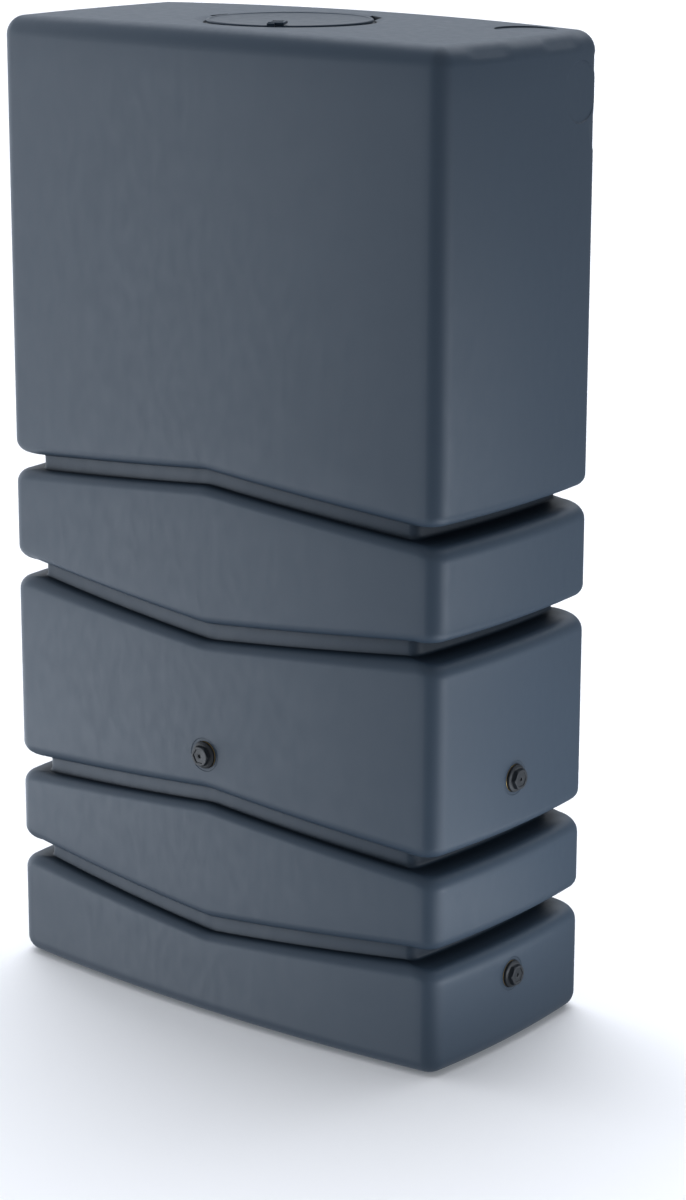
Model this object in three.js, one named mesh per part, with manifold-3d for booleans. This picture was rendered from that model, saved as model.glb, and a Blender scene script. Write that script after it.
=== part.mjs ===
// Slim rain barrel: a tall hollow polyethylene tank with a bowed rectangular plan and five bands,
// parted by four deep grooves that run level round the ends and to a crest or a valley in the middle
// of each broad face. A quick-thread lid with a sliding lock closes the filler neck, and five
// threaded outlets are shut by flanged hexagon plugs on rubber washers.
//
// Millimetres. +Z up, the front faces -Y, and the origin is the middle of the underside.

import * as THREE from 'three';
import { mergeVertices } from 'three/addons/utils/BufferGeometryUtils.js';
import Module from 'manifold-3d';

const wasm = await Module();
wasm.setup();

// ---- Driving dimensions ----

const WIDTH = 800;
const DEPTH = 400;
const HEIGHT = 1400; // at the ends: the top rises by CROWN in the middle
const CROWN = 5;
const WALL = 4.5;
const GAP = 0.3; // left between pieces that touch

// Plan of the bands and, inside it, plan of the grooves' floors.
const BAND = { width: WIDTH, depth: DEPTH, bowFace: 22, bowEnd: 8, corner: 28 };
const GROOVE_END_DEPTH = 48;
const GROOVE_FACE_DEPTH = 16;
const FLOOR = {
  width: WIDTH - 2 * GROOVE_END_DEPTH,
  depth: DEPTH - 2 * GROOVE_FACE_DEPTH,
  bowFace: 22,
  bowEnd: 8,
  corner: 17,
};
const TOP_ROUND = 27;
const BASE_ROUND = 24;

// A band's upper and lower edge: its rounding, and how much its flat falls away towards the outside.
const SHOULDER = { round: 22, draft: 0.15, up: -1 };
const LIP = { round: 18, draft: 0.05, up: 1 };

// Each groove runs from the top of the lower band to the underside of the upper one. Its slope
// lifts both edges by `crest` in the middle of a broad face.
const GROOVES = [
  { lower: 158, upper: 181, crest: -31 },
  { lower: 292, upper: 314, crest: 29 },
  { lower: 592, upper: 615, crest: -31 },
  { lower: 752.5, upper: 773.5, crest: 30 },
];

// The filler neck, the lid and the outlets in the ends stand this far in front of the middle.
const FITTINGS_Y = -8;

// Filler neck and the shallow dish round it.
const NECK_BORE = 103;
const NECK_WALL = 4.5;
const NECK_BOTTOM = 1366;
const DISH_FLOOR = 1398.5;
const DISH_FLOOR_R = 117.5;
const DISH_RIM_R = 133;
const NOTCH_ANGLES = [-60, 60, 180];
const NOTCH_WIDTH = 34;
const NOTCH_R = 130;

// Lid, and the three-start quick thread that holds it.
const LID_R = 115;
const LID_UNDERSIDE = 1401.5;
const LID_TOP = 1404.4;
const LID_RIM_TOP = 1405.6;
const SKIRT_R = 97.5;
const SKIRT_WALL = 4;
const SKIRT_BOTTOM = 1374;
const THREAD_LEAD = 120;
const THREAD_SPAN = 32; // degrees round the axis
const THREAD_HEIGHT = 5;
const LID_LUG_TOP = 1380.5; // at the lug's trailing end
const LID_LUG_R = 102.2;
const NECK_LUG_R = 99;
const LUG_CLEARANCE = 0.5;
const SEAL = { inner: 97.9, outer: 108, bottom: DISH_FLOOR + GAP, top: LID_UNDERSIDE - GAP };

// Lock slide, along the radius at the first notch.
const LOCK_ANGLE = NOTCH_ANGLES[0];
const LOCK = { width: 22, inner: 82, outer: 114.5, bottom: LID_RIM_TOP + GAP, top: 1410 };
const LOCK_NOSE = { width: 10, inner: 116, outer: 121, bottom: 1400.8, side: -6 };
const LOCK_TRAVEL = 7;
const LOCK_STEM = { width: 8, length: 10 };
const LOCK_FOOT = { width: 14, bottom: 1398.8, thick: 2 };
const LOCK_BOSS = { width: 26, inner: 68, outer: 95, bottom: 1396 };

// Threaded outlets. The shank and the bore are plain, at the thread's root.
const PORT_HIGH = 395;
const PORT_LOW = 107;
const SEAT_R = 24;
const SEAT_DEPTH = 0.5;
const PORT_BOSS = { r: 25, length: 24 };
const INSERT = { bore: 12.4, r: 16, length: 18, collarR: 20, collarFrom: 6, collarTo: 12, faceR: 19.3 };
const WASHER = { bore: 12.4, r: 19, thick: 2 };
const PLUG = { shankR: 11.9, shankLength: 15, flangeR: 19, flange: 3, hexFlats: 27, hexTop: 9.5 };
const PLUG_DISH = { r: 10.5, depth: 1, dimpleR: 2.4, dimpleDepth: 3.5 };

// Places where a pipe can be drilled in, and grip dents along the top edge of each end.
const DRILL_PAD = { r: 42, y: 124, z: 1322, depth: 1.3 };
const TOP_PAD = { r: 42, x: 316, y: 104, depth: 1.8 };
const GRIP = { from: 35, length: 90, tilt: 36, depth: 2.4, thick: 12 };

// ---- Materials ----

const tankPlastic = { color: '#4d5965', roughness: 0.45, metalness: 0 };
const lidPlastic = { color: '#56626e', roughness: 0.4, metalness: 0 };
const blackPlastic = { color: '#17191c', roughness: 0.35, metalness: 0 };
const blackRubber = { color: '#0d0d0e', roughness: 0.8, metalness: 0 };
const brass = { color: '#b08d4a', roughness: 0.3, metalness: 1 };

// ---- Solids ----

function indexed(positions, faces) {
  const geometry = new THREE.BufferGeometry();
  geometry.setAttribute('position', new THREE.Float32BufferAttribute(positions, 3));
  geometry.setIndex(faces);
  return geometry;
}

// A closed solid of a geometry's faces, with its shared corners merged and empty faces dropped.
function solid(geometry) {
  geometry.deleteAttribute('normal');
  geometry.deleteAttribute('uv');
  const merged = mergeVertices(geometry, 1e-4);
  const corners = Array.from(merged.index.array);
  const faces = [];
  for (let i = 0; i < corners.length; i += 3) {
    const [a, b, c] = corners.slice(i, i + 3);
    if (a !== b && b !== c && c !== a) faces.push(a, b, c);
  }
  const mesh = new wasm.Mesh({
    numProp: 3,
    vertProperties: new Float32Array(merged.attributes.position.array),
    triVerts: new Uint32Array(faces),
  });
  return new wasm.Manifold(mesh);
}

function cut(body, ...tools) {
  return tools.reduce((left, tool) => left.subtract(tool), body);
}

function join(body, ...others) {
  return others.reduce((sum, other) => sum.add(other), body);
}

function geometryOf(body) {
  const mesh = body.getMesh();
  return indexed(mesh.vertProperties, Array.from(mesh.triVerts));
}

// A solid of revolution about +Z from [radius, height] corners, anticlockwise from below.
function turned(corners, segments = 36) {
  const onAxis = corners[0][0] === 0;
  const profile = onAxis ? corners : [...corners, corners[0]];
  const points = profile.map(([r, z]) => new THREE.Vector2(r, z));
  return new THREE.LatheGeometry(points, segments).rotateX(Math.PI / 2);
}

function disc(r, from, to, segments = 36) {
  return turned([[0, from], [r, from], [r, to], [0, to]], segments);
}

function ring(inner, outer, from, to, segments = 36) {
  return turned([[inner, from], [outer, from], [outer, to], [inner, to]], segments);
}

function block(from, to) {
  const size = to.map((value, axis) => value - from[axis]);
  const middle = to.map((value, axis) => (value + from[axis]) / 2);
  return new THREE.BoxGeometry(...size).translate(...middle);
}

// ---- Plan outlines ----

const END_STEPS = 4;
const CORNER_STEPS = 3;
const FACE_STEPS = 5;

// A quarter of a plan, from the middle of the right end to the middle of the back. `inset` moves
// the whole outline in. `face` is 1 in the middle of a broad face and 0 from its corners on.
function quarterPlan(plan, inset = 0) {
  const halfX = plan.width / 2 - plan.bowEnd - plan.corner;
  const halfY = plan.depth / 2 - plan.bowFace - plan.corner;
  const radius = plan.corner - inset;
  const points = [];
  const add = (x, y, slopeX, slopeY, face) => {
    const normal = new THREE.Vector2(slopeX, slopeY).normalize();
    points.push({ x: x + radius * normal.x, y: y + radius * normal.y, normal, face });
  };
  for (let i = 0; i <= END_STEPS; i += 1) {
    const t = i / END_STEPS;
    add(halfX + plan.bowEnd * (1 - t * t), halfY * t, 1, (2 * plan.bowEnd * t) / halfY, 0);
  }
  const start = Math.atan2(2 * plan.bowEnd, halfY);
  const sweep = Math.PI / 2 - Math.atan2(2 * plan.bowFace, halfX) - start;
  for (let i = 1; i < CORNER_STEPS; i += 1) {
    const angle = start + (sweep * i) / CORNER_STEPS;
    add(halfX, halfY, Math.cos(angle), Math.sin(angle), 0);
  }
  for (let i = FACE_STEPS; i >= 0; i -= 1) {
    const t = i / FACE_STEPS;
    add(halfX * t, halfY + plan.bowFace * (1 - t * t), (2 * plan.bowFace * t) / halfX, 1, 1 - t);
  }
  return points;
}

// The whole plan, anticlockwise, mirrored from its quarter.
function fullPlan(plan, inset = 0) {
  const quarter = quarterPlan(plan, inset);
  const last = quarter.length - 1;
  const mirrored = (point, signX, signY) => ({
    x: signX * point.x,
    y: signY * point.y,
    normal: new THREE.Vector2(signX * point.normal.x, signY * point.normal.y),
    face: point.face,
  });
  const points = quarter.map((point) => mirrored(point, 1, 1));
  for (let i = last - 1; i >= 0; i -= 1) points.push(mirrored(quarter[i], -1, 1));
  for (let i = 1; i <= last; i += 1) points.push(mirrored(quarter[i], -1, -1));
  for (let i = last - 1; i > 0; i -= 1) points.push(mirrored(quarter[i], 1, -1));
  return points;
}

function crownAt(x) {
  return CROWN * (1 - (x / (WIDTH / 2 - BAND.bowEnd)) ** 2);
}

// ---- Tank ----

// The tank's closed skin, `wall` inside its outer surface: the outside with wall 0, and the space
// for water with the wall's thickness. Rings of points are stacked from the base to the top.
function tankSkin(wall, arcSteps) {
  const bandPlan = fullPlan(BAND, wall);
  const floorPlan = fullPlan(FLOOR, wall);
  const rings = [];
  const angles = Array.from({ length: arcSteps + 1 }, (_, i) => (Math.PI / 2) * (i / arcSteps));

  const baseRadius = BASE_ROUND - wall;
  angles.forEach((angle) => {
    const plan = fullPlan(BAND, wall + baseRadius * (1 - Math.sin(angle)));
    const z = BASE_ROUND - baseRadius * Math.cos(angle);
    rings.push(plan.map((p) => [p.x, p.y, z]));
  });

  // Round a band's edge, from a quarter turn on its face to none where its flat starts.
  const edgeRing = (groove, level, edge, angle) => bandPlan.map((outer, i) => {
    const inner = floorPlan[i];
    const depth = (outer.x - inner.x) * outer.normal.x + (outer.y - inner.y) * outer.normal.y;
    const radius = Math.min(edge.round, 0.96 * depth) - wall;
    const t = (radius * (1 - Math.sin(angle))) / depth;
    const fall = wall + radius * (1 - Math.cos(angle)) + edge.draft * (depth - radius);
    const x = outer.x + (inner.x - outer.x) * t;
    const y = outer.y + (inner.y - outer.y) * t;
    return [x, y, level + edge.up * fall + groove.crest * outer.face];
  });
  const floorRing = (groove, z) => floorPlan.map((p) => [p.x, p.y, z + groove.crest * p.face]);
  GROOVES.forEach((groove) => {
    angles.toReversed().forEach((a) => rings.push(edgeRing(groove, groove.lower, SHOULDER, a)));
    rings.push(floorRing(groove, groove.lower - wall));
    rings.push(floorRing(groove, groove.upper + wall));
    angles.forEach((a) => rings.push(edgeRing(groove, groove.upper, LIP, a)));
  });

  const topRadius = TOP_ROUND - wall;
  angles.forEach((angle) => {
    const plan = fullPlan(BAND, wall + topRadius * (1 - Math.cos(angle)));
    const z = HEIGHT - TOP_ROUND + topRadius * Math.sin(angle);
    rings.push(plan.map((p) => [p.x, p.y, z + crownAt(p.x) * Math.sin(angle)]));
  });
  return stacked(rings);
}

// Joins rings of points, each anticlockwise from above, and closes both ends. A ring is mirrored
// across y = 0 and starts at its rightmost point, so its cap is a ladder of rungs along y.
function stacked(rings) {
  const count = rings[0].length;
  const faces = [];
  for (let level = 0; level < rings.length - 1; level += 1) {
    for (let i = 0; i < count; i += 1) {
      const next = (i + 1) % count;
      const [a, b] = [level * count + i, level * count + next];
      faces.push(a, b, b + count, a, b + count, a + count);
    }
  }
  const cap = (level, up) => {
    const base = level * count;
    for (let i = 0; i < count / 2; i += 1) {
      const [back, backNext] = [base + i, base + i + 1];
      const [front, frontNext] = [base + ((count - i) % count), base + count - i - 1];
      const quad = [back, backNext, frontNext, back, frontNext, front];
      faces.push(...(up ? quad : quad.reverse()));
    }
  };
  cap(0, false);
  cap(rings.length - 1, true);
  return indexed(rings.flat(2), faces);
}

// One helical lug per notch angle, between two radii, `lift` above the lid's lugs.
function threadLugs(inner, outer, lift) {
  const steps = 5;
  const slope = THREAD_LEAD / 360;
  const start = -THREAD_SPAN / 2;
  return NOTCH_ANGLES.map((middle) => {
    const rings = [];
    for (let i = 0; i <= steps; i += 1) {
      const turn = (THREAD_SPAN * i) / steps;
      const angle = THREE.MathUtils.degToRad(middle + start + turn);
      const top = LID_LUG_TOP + slope * turn + lift;
      const bottom = top - THREAD_HEIGHT;
      const section = [[inner, bottom], [outer, bottom], [outer, top], [inner, top]];
      rings.push(section.map(([r, z]) => [r * Math.cos(angle), r * Math.sin(angle), z]));
    }
    return solid(lofted(rings.reverse()));
  });
}

// Joins four-cornered sections and closes both ends.
function lofted(sections) {
  const faces = [];
  for (let level = 0; level < sections.length - 1; level += 1) {
    for (let i = 0; i < 4; i += 1) {
      const [a, b] = [level * 4 + i, level * 4 + ((i + 1) % 4)];
      faces.push(a, b, b + 4, a, b + 4, a + 4);
    }
  }
  const last = (sections.length - 1) * 4;
  faces.push(2, 1, 0, 3, 2, 0);
  faces.push(last, last + 1, last + 2, last, last + 2, last + 3);
  return indexed(sections.flat(2), faces);
}

// The outlets: where each stands on the tank, and the turn about +Z from facing the front.
const FACE_Y = DEPTH / 2 - SEAT_DEPTH;
const END_X = WIDTH / 2 - SEAT_DEPTH;
const PORTS = [
  { name: 'front', turn: 0, at: [0, -FACE_Y, PORT_HIGH] },
  { name: 'right_upper', turn: 90, at: [END_X, FITTINGS_Y, PORT_HIGH] },
  { name: 'right_lower', turn: 90, at: [END_X, FITTINGS_Y, PORT_LOW] },
  { name: 'left_upper', turn: -90, at: [-END_X, FITTINGS_Y, PORT_HIGH] },
  { name: 'left_lower', turn: -90, at: [-END_X, FITTINGS_Y, PORT_LOW] },
];

// Moves a solid from an outlet's own frame, seat in z = 0 and +Z outwards, to the tank.
function placedAt(port, geometry) {
  geometry.rotateX(Math.PI / 2);
  geometry.rotateZ(THREE.MathUtils.degToRad(port.turn));
  return geometry.translate(...port.at);
}

function insertProfile(clearance) {
  const { r, length, collarR, collarFrom, collarTo, faceR } = INSERT;
  return [
    [r + clearance, -length - clearance],
    [r + clearance, -collarTo - clearance],
    [collarR + clearance, -collarTo - clearance],
    [collarR + clearance, -collarFrom + clearance],
    [faceR + clearance, -collarFrom + clearance],
    [faceR + clearance, clearance ? 5 : -GAP],
  ];
}

function portBoss(port) {
  return solid(placedAt(port, disc(PORT_BOSS.r, -PORT_BOSS.length, -SEAT_DEPTH, 16)));
}

function portHole(port) {
  const insertSpace = [[0, -INSERT.length - GAP], ...insertProfile(GAP), [0, 5]];
  const cuts = [
    disc(SEAT_R, 0, 5, 20),
    turned(insertSpace, 20),
    disc(INSERT.bore, -PORT_BOSS.length - 5, 0, 20),
  ];
  const [seat, ...holes] = cuts.map((geometry) => solid(placedAt(port, geometry)));
  return join(seat, ...holes);
}

// A pad faces the end's own slope where it stands, so its normal leans a little to the back.
function drillPad(side) {
  const halfY = DEPTH / 2 - BAND.bowFace - BAND.corner;
  const t = DRILL_PAD.y / halfY;
  const lean = Math.atan((2 * BAND.bowEnd * t) / halfY);
  const x = WIDTH / 2 - BAND.bowEnd * t * t - DRILL_PAD.depth;
  const geometry = disc(DRILL_PAD.r, 0, 8, 24).rotateY(Math.PI / 2);
  geometry.rotateZ(side > 0 ? lean : Math.PI - lean);
  return solid(geometry.translate(side * x, DRILL_PAD.y, DRILL_PAD.z));
}

function gripDent(side, middleY) {
  const tilt = THREE.MathUtils.degToRad(GRIP.tilt);
  const halfY = DEPTH / 2 - BAND.bowFace - BAND.corner;
  const bow = BAND.bowEnd * (middleY / halfY) ** 2;
  const centreX = WIDTH / 2 - bow - TOP_ROUND;
  const radius = TOP_ROUND - GRIP.depth;
  const geometry = new THREE.BoxGeometry(GRIP.thick, GRIP.length, 2 * TOP_ROUND);
  geometry.translate(radius + GRIP.thick / 2, 0, 0).rotateY(-tilt);
  geometry.translate(centreX, middleY, HEIGHT - TOP_ROUND);
  return solid(side > 0 ? geometry : geometry.rotateZ(Math.PI));
}

function tankBody() {
  const outside = solid(tankSkin(0, 3));
  const water = solid(tankSkin(WALL, 1));
  const shell = cut(outside, water);

  const neck = solid(ring(NECK_BORE, NECK_BORE + NECK_WALL, NECK_BOTTOM, DISH_FLOOR));
  const dishBack = solid(ring(NECK_BORE, DISH_RIM_R + 8, DISH_FLOOR - WALL, HEIGHT + 2));
  const opening = solid(disc(NECK_BORE, NECK_BOTTOM - 5, HEIGHT + 20));
  const dish = solid(turned([
    [0, DISH_FLOOR],
    [DISH_FLOOR_R, DISH_FLOOR],
    [DISH_FLOOR_R + 1.5, DISH_FLOOR + 2.5],
    [DISH_RIM_R, HEIGHT + CROWN + 0.3],
    [DISH_RIM_R, HEIGHT + CROWN + 5],
    [0, HEIGHT + CROWN + 5],
  ]));
  const notches = NOTCH_ANGLES.map((angle) => {
    const half = NOTCH_WIDTH / 2;
    const geometry = block([NECK_BORE + 5, -half, DISH_FLOOR], [NOTCH_R, half, HEIGHT + 20]);
    return solid(geometry.rotateZ(THREE.MathUtils.degToRad(angle)));
  });
  const neckLugs = threadLugs(NECK_LUG_R, NECK_BORE + 1, THREAD_HEIGHT + LUG_CLEARANCE);
  const inPlace = (body) => body.translate([0, FITTINGS_Y, 0]);

  const topPadFloor = HEIGHT + crownAt(TOP_PAD.x) - TOP_PAD.depth;
  const topPad = disc(TOP_PAD.r, topPadFloor, topPadFloor + 20, 24);
  const pads = [
    drillPad(1),
    drillPad(-1),
    solid(topPad.translate(TOP_PAD.x, TOP_PAD.y, 0)),
  ];
  const gripY = GRIP.from + GRIP.length / 2;
  const grips = [1, -1].flatMap((side) => [gripDent(side, gripY), gripDent(side, -gripY)]);

  const whole = join(shell, ...[neck, dishBack].map(inPlace), ...PORTS.map(portBoss));
  const neckCuts = [opening, dish, ...notches].map(inPlace);
  const opened = cut(whole, ...neckCuts, ...PORTS.map(portHole), ...pads, ...grips);
  return join(opened, ...neckLugs.map(inPlace));
}

// ---- Lid ----

function lid() {
  const skirtInner = SKIRT_R - SKIRT_WALL;
  const plate = turned([
    [0, LID_UNDERSIDE],
    [skirtInner, LID_UNDERSIDE],
    [skirtInner, SKIRT_BOTTOM],
    [SKIRT_R, SKIRT_BOTTOM],
    [SKIRT_R, LID_UNDERSIDE],
    [LID_R - 0.8, LID_UNDERSIDE],
    [LID_R, LID_UNDERSIDE + 0.8],
    [LID_R, LID_RIM_TOP - 1.2],
    [LID_R - 1.2, LID_RIM_TOP],
    [LID_R - 4, LID_RIM_TOP],
    [LID_R - 5.5, LID_TOP],
    [0, LID_TOP],
  ]);
  const lugs = threadLugs(SKIRT_R - 1, LID_LUG_R, 0);
  const onRadius = (from, to) => {
    const geometry = block(from, to);
    return solid(geometry.rotateZ(THREE.MathUtils.degToRad(LOCK_ANGLE)));
  };
  const bossHalf = LOCK_BOSS.width / 2;
  const boss = onRadius(
    [LOCK_BOSS.inner, -bossHalf, LOCK_BOSS.bottom],
    [LOCK_BOSS.outer, bossHalf, LID_UNDERSIDE + 1],
  );
  const stemOuter = LOCK.inner + LOCK_STEM.length;
  const stemHalf = LOCK_STEM.width / 2 + GAP;
  const footHalf = LOCK_FOOT.width / 2 + GAP;
  const slotInner = LOCK.inner - LOCK_TRAVEL - GAP;
  const slot = onRadius(
    [slotInner, -stemHalf, LOCK_FOOT.bottom - GAP],
    [stemOuter + GAP, stemHalf, LID_TOP + 5],
  );
  const footSpace = onRadius(
    [slotInner, -footHalf, LOCK_FOOT.bottom - GAP],
    [stemOuter + GAP, footHalf, LOCK_FOOT.bottom + LOCK_FOOT.thick + GAP],
  );
  const noseHalf = LOCK_NOSE.width / 2 + GAP;
  const noseSpace = onRadius(
    [LOCK_NOSE.inner - LOCK_TRAVEL - GAP, LOCK_NOSE.side - noseHalf, LID_UNDERSIDE - 1],
    [LID_R + 5, LOCK_NOSE.side + noseHalf, LID_RIM_TOP + 1],
  );
  return cut(join(solid(plate), ...lugs, boss), slot, footSpace, noseSpace);
}

function seal() {
  return solid(ring(SEAL.inner, SEAL.outer, SEAL.bottom, SEAL.top));
}

// A flat thumb slide on a stem and foot. Its nose hangs down past the lid's rim into the notch, and
// a gap in the rim lets it slide in.
function lockSlide() {
  const half = LOCK.width / 2;
  const outline = new THREE.Shape();
  const round = 5;
  outline.moveTo(LOCK.inner, -half + round);
  outline.absarc(LOCK.inner + round, -half + round, round, Math.PI, 1.5 * Math.PI, false);
  outline.lineTo(LOCK.outer, -half);
  outline.lineTo(LOCK.outer, half);
  outline.absarc(LOCK.inner + round, half - round, round, 0.5 * Math.PI, Math.PI, false);
  const plate = new THREE.ExtrudeGeometry(outline, {
    depth: LOCK.top - LOCK.bottom,
    bevelEnabled: false,
    curveSegments: 4,
  }).translate(0, 0, LOCK.bottom);
  const stemOuter = LOCK.inner + LOCK_STEM.length;
  const stemHalf = LOCK_STEM.width / 2;
  const footHalf = LOCK_FOOT.width / 2;
  const noseHalf = LOCK_NOSE.width / 2;
  const parts = [
    block([LOCK.inner, -stemHalf, LOCK_FOOT.bottom], [stemOuter, stemHalf, LOCK.bottom + 1]),
    block(
      [LOCK.inner, -footHalf, LOCK_FOOT.bottom],
      [stemOuter, footHalf, LOCK_FOOT.bottom + LOCK_FOOT.thick],
    ),
    block(
      [LOCK.outer - 4, LOCK_NOSE.side - noseHalf, LOCK.bottom],
      [LOCK_NOSE.outer, LOCK_NOSE.side + noseHalf, LOCK.top - 1],
    ),
    block(
      [LOCK_NOSE.inner, LOCK_NOSE.side - noseHalf, LOCK_NOSE.bottom],
      [LOCK_NOSE.outer, LOCK_NOSE.side + noseHalf, LOCK.bottom + 1],
    ),
  ];
  const slide = join(solid(plate), ...parts.map(solid));
  const turnedTo = geometryOf(slide).rotateZ(THREE.MathUtils.degToRad(LOCK_ANGLE));
  return solid(turnedTo);
}

// ---- Outlets ----

function threadedInsert(port) {
  const [start, ...rest] = insertProfile(0);
  const profile = [[INSERT.bore, -INSERT.length], start, ...rest, [INSERT.bore, -GAP]];
  return solid(placedAt(port, turned(profile, 20)));
}

const WASHER_TOP = GAP + WASHER.thick;
const FLANGE_UNDERSIDE = WASHER_TOP + GAP;

function washer(port) {
  return solid(placedAt(port, ring(WASHER.bore, WASHER.r, GAP, WASHER_TOP, 20)));
}

// A hexagon plug in one piece: shank, flange, six-sided head with a shallow dish and a dimple.
function hexPlug(port) {
  const flangeTop = FLANGE_UNDERSIDE + PLUG.flange;
  const headTop = FLANGE_UNDERSIDE + PLUG.hexTop;
  const shankEnd = FLANGE_UNDERSIDE - PLUG.shankLength;
  const spindle = solid(turned([
    [0, shankEnd],
    [PLUG.shankR - 1, shankEnd],
    [PLUG.shankR, shankEnd + 1],
    [PLUG.shankR, FLANGE_UNDERSIDE],
    [PLUG.flangeR, FLANGE_UNDERSIDE],
    [PLUG.flangeR, flangeTop - 1],
    [PLUG.flangeR - 1, flangeTop],
    [0, flangeTop],
  ], 24));
  const hexR = PLUG.hexFlats / Math.sqrt(3);
  const head = solid(disc(hexR, flangeTop - 1, headTop, 6));
  const dish = solid(disc(PLUG_DISH.r, headTop - PLUG_DISH.depth, headTop + 1, 18));
  const dimple = solid(disc(PLUG_DISH.dimpleR, headTop - PLUG_DISH.dimpleDepth, headTop + 1, 8));
  const plug = cut(join(spindle, head), dish, dimple);
  return solid(placedAt(port, geometryOf(plug)));
}

// ---- Assembly ----

const barrel = new THREE.Group();

function addMesh(name, body, finish, y = 0) {
  const geometry = geometryOf(body).translate(0, y, 0);
  const mesh = new THREE.Mesh(geometry, new THREE.MeshStandardMaterial(finish));
  mesh.name = name;
  barrel.add(mesh);
}

addMesh('tank_body', tankBody(), tankPlastic);
addMesh('lid', lid(), lidPlastic, FITTINGS_Y);
addMesh('lid_seal', seal(), blackRubber, FITTINGS_Y);
addMesh('lid_lock_slide', lockSlide(), lidPlastic, FITTINGS_Y);
PORTS.forEach((port) => {
  addMesh(`${port.name}_threaded_insert`, threadedInsert(port), brass);
  addMesh(`${port.name}_plug_washer`, washer(port), blackRubber);
  addMesh(`${port.name}_hex_plug`, hexPlug(port), blackPlastic);
});

export default barrel;
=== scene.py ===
import math

import bmesh
import bpy
import numpy as np
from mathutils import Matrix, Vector

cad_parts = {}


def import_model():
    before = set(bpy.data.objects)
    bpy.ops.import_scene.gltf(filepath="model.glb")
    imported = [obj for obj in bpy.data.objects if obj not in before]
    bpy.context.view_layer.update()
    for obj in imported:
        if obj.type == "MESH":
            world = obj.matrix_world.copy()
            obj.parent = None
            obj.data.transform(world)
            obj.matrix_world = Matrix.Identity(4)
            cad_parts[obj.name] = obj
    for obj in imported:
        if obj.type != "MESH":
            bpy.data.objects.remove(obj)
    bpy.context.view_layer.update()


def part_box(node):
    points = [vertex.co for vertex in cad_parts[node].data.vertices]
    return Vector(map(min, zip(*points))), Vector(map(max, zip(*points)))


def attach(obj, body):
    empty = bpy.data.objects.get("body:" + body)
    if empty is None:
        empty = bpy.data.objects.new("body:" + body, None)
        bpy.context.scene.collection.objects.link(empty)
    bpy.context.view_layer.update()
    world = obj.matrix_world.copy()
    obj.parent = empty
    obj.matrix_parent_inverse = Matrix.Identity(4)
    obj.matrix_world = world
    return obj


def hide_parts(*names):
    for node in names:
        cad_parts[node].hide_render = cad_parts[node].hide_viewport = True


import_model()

MM = 0.001

# Lengths below are in millimetres, in the frame of the CAD: +Z up, the front faces -Y.
tank_low, tank_high = (np.array(corner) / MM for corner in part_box("tank_body"))
lid_low, lid_high = (np.array(corner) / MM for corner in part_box("lid"))
WIDTH = tank_high[0] - tank_low[0]
DEPTH = tank_high[1] - tank_low[1]
CROWN = 5.0
HEIGHT = tank_high[2] - CROWN
LID_X, LID_Y = ((lid_low + lid_high) / 2)[:2]
WALL = 4.5

BAND = {"width": WIDTH, "depth": DEPTH, "bow_face": 22, "bow_end": 8, "corner": 28}
FLOOR_PLAN = {"width": WIDTH - 96, "depth": DEPTH - 32, "bow_face": 22, "bow_end": 8, "corner": 17}
TOP_ROUND = 27
BASE_ROUND = 24
SHOULDER = {"round": 22, "draft": 0.15, "up": -1}
LIP = {"round": 18, "draft": 0.05, "up": 1}
GROOVES = [(158, 181, -31), (292, 314, 29), (592, 615, -31), (752.5, 773.5, 30)]


# ---- Meshes ----


class Skin:
    """Collects points and faces in millimetres and makes one mesh object of them."""

    def __init__(self):
        self.points = []
        self.faces = []
        self.count = 0

    def add(self, points):
        points = np.asarray(points, float).reshape(-1, 3)
        first = self.count
        self.points.append(points)
        self.count += len(points)
        return np.arange(first, first + len(points))

    def quads(self, rows, closed=True, flip=False):
        """Joins rows of point numbers, each from left to right as seen from outside, and going up."""
        for low, high in zip(rows[:-1], rows[1:]):
            a, d = (low, high) if not flip else (high, low)
            b, c = np.roll(a, -1), np.roll(d, -1)
            quads = np.stack([a, b, c, d], 1)
            self.faces.extend((quads if closed else quads[:-1]).tolist())

    def zip(self, outer, inner, outer_angles, inner_angles):
        """Joins two anticlockwise loops of unlike counts around one centre."""

        def ordered(loop, angles):
            angles = np.mod(angles, 2 * np.pi)
            start = int(np.argmin(angles))
            return np.roll(loop, -start), np.append(np.roll(angles, -start), angles[start] + 2 * np.pi)

        a, a_angles = ordered(outer, outer_angles)
        b, b_angles = ordered(inner, inner_angles)
        i = j = 0
        while i < len(a) or j < len(b):
            take_a = j == len(b) or (i < len(a) and a_angles[i + 1] < b_angles[j + 1])
            here, there = a[i % len(a)], b[j % len(b)]
            if take_a:
                self.faces.append([here, a[(i + 1) % len(a)], there])
                i += 1
            else:
                self.faces.append([here, b[(j + 1) % len(b)], there])
                j += 1

    def fan(self, loop, centre, flip=False):
        """Closes a loop with a fan to one point."""
        tip = self.add([centre])[0]
        for a, b in zip(loop, np.roll(loop, -1)):
            self.faces.append([b, a, tip] if flip else [a, b, tip])

    def object(self, name, sharp=35.0):
        mesh = bpy.data.meshes.new(name)
        mesh.from_pydata((np.concatenate(self.points) * MM).tolist(), [], self.faces)
        return finished(name, mesh, sharp)


def finished(name, mesh, sharp=35.0):
    """Merges a mesh's shared corners, drops empty faces, and shades it smooth but for its sharp edges."""
    bm = bmesh.new()
    bm.from_mesh(mesh)
    bmesh.ops.remove_doubles(bm, verts=bm.verts, dist=2e-6)
    bmesh.ops.dissolve_degenerate(bm, edges=bm.edges, dist=1e-6)
    bmesh.ops.recalc_face_normals(bm, faces=bm.faces)
    limit = math.radians(sharp)
    for face in bm.faces:
        face.smooth = True
    for edge in bm.edges:
        edge.smooth = len(edge.link_faces) == 2 and edge.calc_face_angle(0) < limit
    bm.to_mesh(mesh)
    bm.free()
    mesh.update()
    piece = bpy.data.objects.new(name, mesh)
    bpy.context.scene.collection.objects.link(piece)
    return piece


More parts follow.
